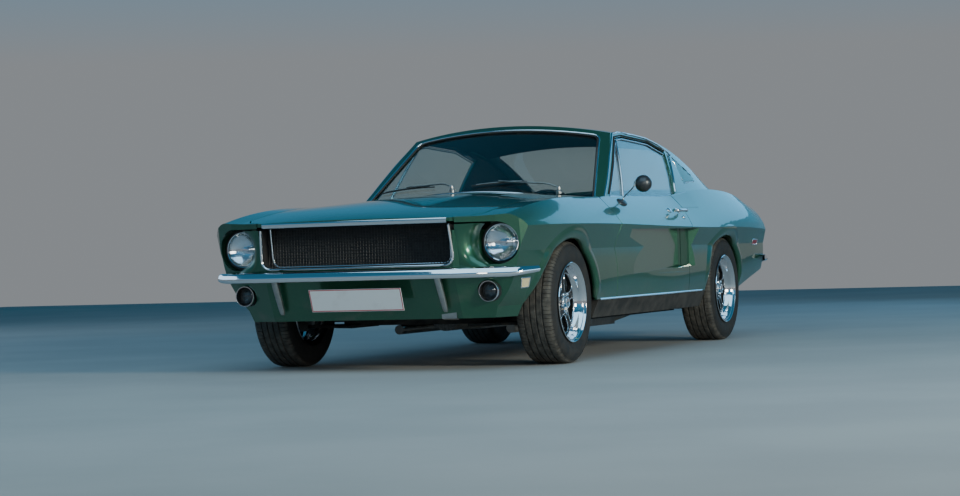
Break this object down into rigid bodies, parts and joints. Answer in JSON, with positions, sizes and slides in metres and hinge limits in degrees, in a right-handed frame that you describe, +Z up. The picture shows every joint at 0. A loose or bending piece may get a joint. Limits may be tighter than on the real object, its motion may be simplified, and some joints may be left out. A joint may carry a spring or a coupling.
{
  "type": "fastback muscle car",
  "caption": "Two-door fastback coupe with long hood, side coves, opening doors, hood and boot lid, steered front wheels and chrome bumpers.",
  "frame": {"origin": "on the ground, below the middle of the length and width", "axes": "+X forwards along the car, +Y to its left, +Z up"},
  "size_m": [4.6628, 1.8293, 1.3111],
  "materials": {
    "paint": "dark green metallic, clear coated",
    "chrome": "polished chrome plate",
    "black_trim": "satin black",
    "lamp_glass": "clear ribbed glass",
    "red_lens": "red lens",
    "glass": "lightly tinted glass",
    "underbody": "black underseal",
    "vinyl": "black grained vinyl",
    "cast_metal": "dark cast metal",
    "pipe_steel": "dull steel",
    "plate_white": "blank white plate",
    "tyre": "black tread rubber",
    "wheel_metal": "polished rim, dark spokes"
  },
  "bodies": {
    "root": {"front_wing_left": "paint", "front_wing_right": "paint", "front_valance": "paint", "front_bumper": "chrome", "front_lamps": "lamp_glass", "grille": "black_trim", "cowl": "paint", "windscreen": "glass", "wipers": "chrome", "roof": "paint", "rear_window": "glass", "quarter_left": "paint", "quarter_right": "paint", "rear_panels": "paint", "tail_lamps": "red_lens", "rear_bumper": "chrome", "floor_pan": "underbody", "dashboard": "vinyl", "steering_wheel": "black_trim", "seat_left": "vinyl", "seat_right": "vinyl", "rear_seat": "vinyl", "engine": "cast_metal", "front_suspension": "underbody", "rear_axle": "cast_metal", "exhaust": "pipe_steel", "fuel_tank": "pipe_steel", "number_plate": "plate_white"},
    "hood_body": {"hood": "paint"},
    "boot_body": {"boot_lid": "paint"},
    "door_left_body": {"door_left": "paint", "door_window_left": "glass", "door_mirror": "chrome"},
    "door_right_body": {"door_right": "paint", "door_window_right": "glass"},
    "steer_left_body": {"knuckle_left": "cast_metal"},
    "steer_right_body": {"knuckle_right": "cast_metal"},
    "wheel_front_left_body": {"tyre_front_left": "tyre", "wheel_front_left": "wheel_metal"},
    "wheel_front_right_body": {"tyre_front_right": "tyre", "wheel_front_right": "wheel_metal"},
    "wheel_rear_left_body": {"tyre_rear_left": "tyre", "wheel_rear_left": "wheel_metal"},
    "wheel_rear_right_body": {"tyre_rear_right": "tyre", "wheel_rear_right": "wheel_metal"}
  },
  "joints": [
    {"name": "steer_left", "type": "hinge", "parent": "root", "child": "steer_left_body", "pos_m": [1.4815, 0.64, 0.315], "axis": [0, 0, 1], "range_deg": [-30, 30]},
    {"name": "steer_right", "type": "hinge", "parent": "root", "child": "steer_right_body", "pos_m": [1.4815, -0.64, 0.315], "axis": [0, 0, 1], "range_deg": [-30, 30]},
    {"name": "door_left_hinge", "type": "hinge", "parent": "root", "child": "door_left_body", "pos_m": [0.76, 0.835, 0.535], "axis": [0, 0, -1], "range_deg": [0, 65]},
    {"name": "door_right_hinge", "type": "hinge", "parent": "root", "child": "door_right_body", "pos_m": [0.76, -0.835, 0.535], "axis": [0, 0, 1], "range_deg": [0, 65]},
    {"name": "hood_hinge", "type": "hinge", "parent": "root", "child": "hood_body", "pos_m": [1, 0, 0.838], "axis": [0, -1, 0], "range_deg": [0, 45]},
    {"name": "boot_hinge", "type": "hinge", "parent": "root", "child": "boot_body", "pos_m": [-1.86, 0, 0.864], "axis": [0, 1, 0], "range_deg": [0, 60]},
    {"name": "wheel_front_left_spin", "type": "hinge", "parent": "steer_left_body", "child": "wheel_front_left_body", "pos_m": [1.4815, 0.746, 0.315], "axis": [0, 1, 0], "continuous": true},
    {"name": "wheel_front_right_spin", "type": "hinge", "parent": "steer_right_body", "child": "wheel_front_right_body", "pos_m": [1.4815, -0.746, 0.315], "axis": [0, 1, 0], "continuous": true},
    {"name": "wheel_rear_left_spin", "type": "hinge", "parent": "root", "child": "wheel_rear_left_body", "pos_m": [-1.2615, 0.746, 0.315], "axis": [0, 1, 0], "continuous": true},
    {"name": "wheel_rear_right_spin", "type": "hinge", "parent": "root", "child": "wheel_rear_right_body", "pos_m": [-1.2615, -0.746, 0.315], "axis": [0, 1, 0], "continuous": true}
  ],
  "couplings": [
    {"joint": "steer_right", "follows": "steer_left", "ratio": 1}
  ]
}
